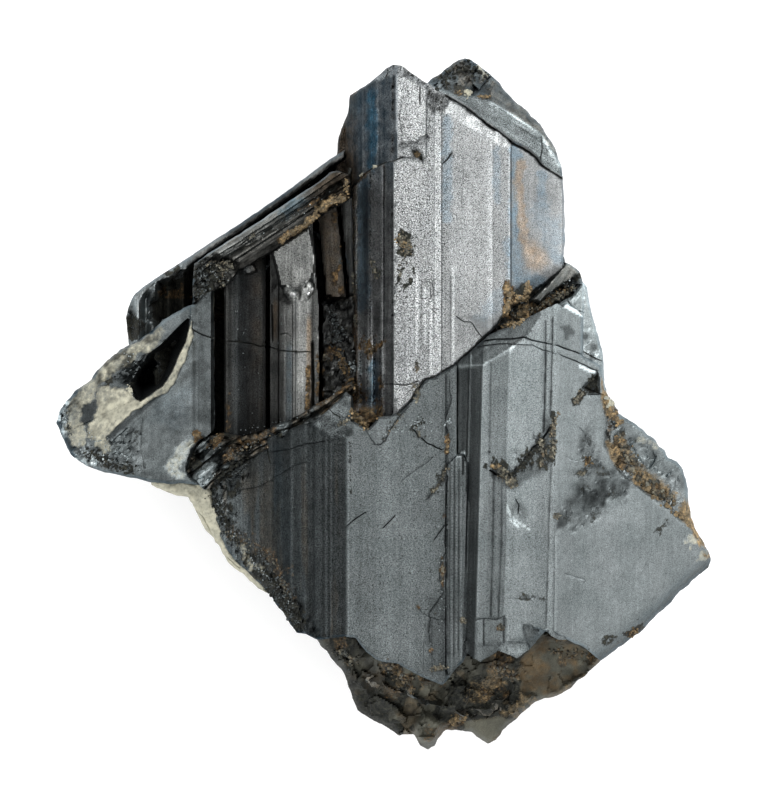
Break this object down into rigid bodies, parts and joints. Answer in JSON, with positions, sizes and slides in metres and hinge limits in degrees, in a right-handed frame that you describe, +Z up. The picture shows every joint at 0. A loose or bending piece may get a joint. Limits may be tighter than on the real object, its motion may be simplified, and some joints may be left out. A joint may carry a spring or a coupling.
{
  "type": "mineral specimen",
  "caption": "Cluster of lead-grey, lengthwise-striated geocronite crystals on a scrap of dark matrix, lying on its broken back.",
  "frame": {"origin": "on the surface it rests on, under the middle of the specimen's outline seen from above", "axes": "+X to the right across the crystal faces, +Y along the striations towards the crystals' tips, +Z up, away from the broken back"},
  "size_m": [0.0484, 0.0512, 0.0251],
  "materials": {
    "geocronite": "satin"
  },
  "bodies": {
    "root": {"geocronite_specimen": "geocronite"}
  },
  "joints": []
}
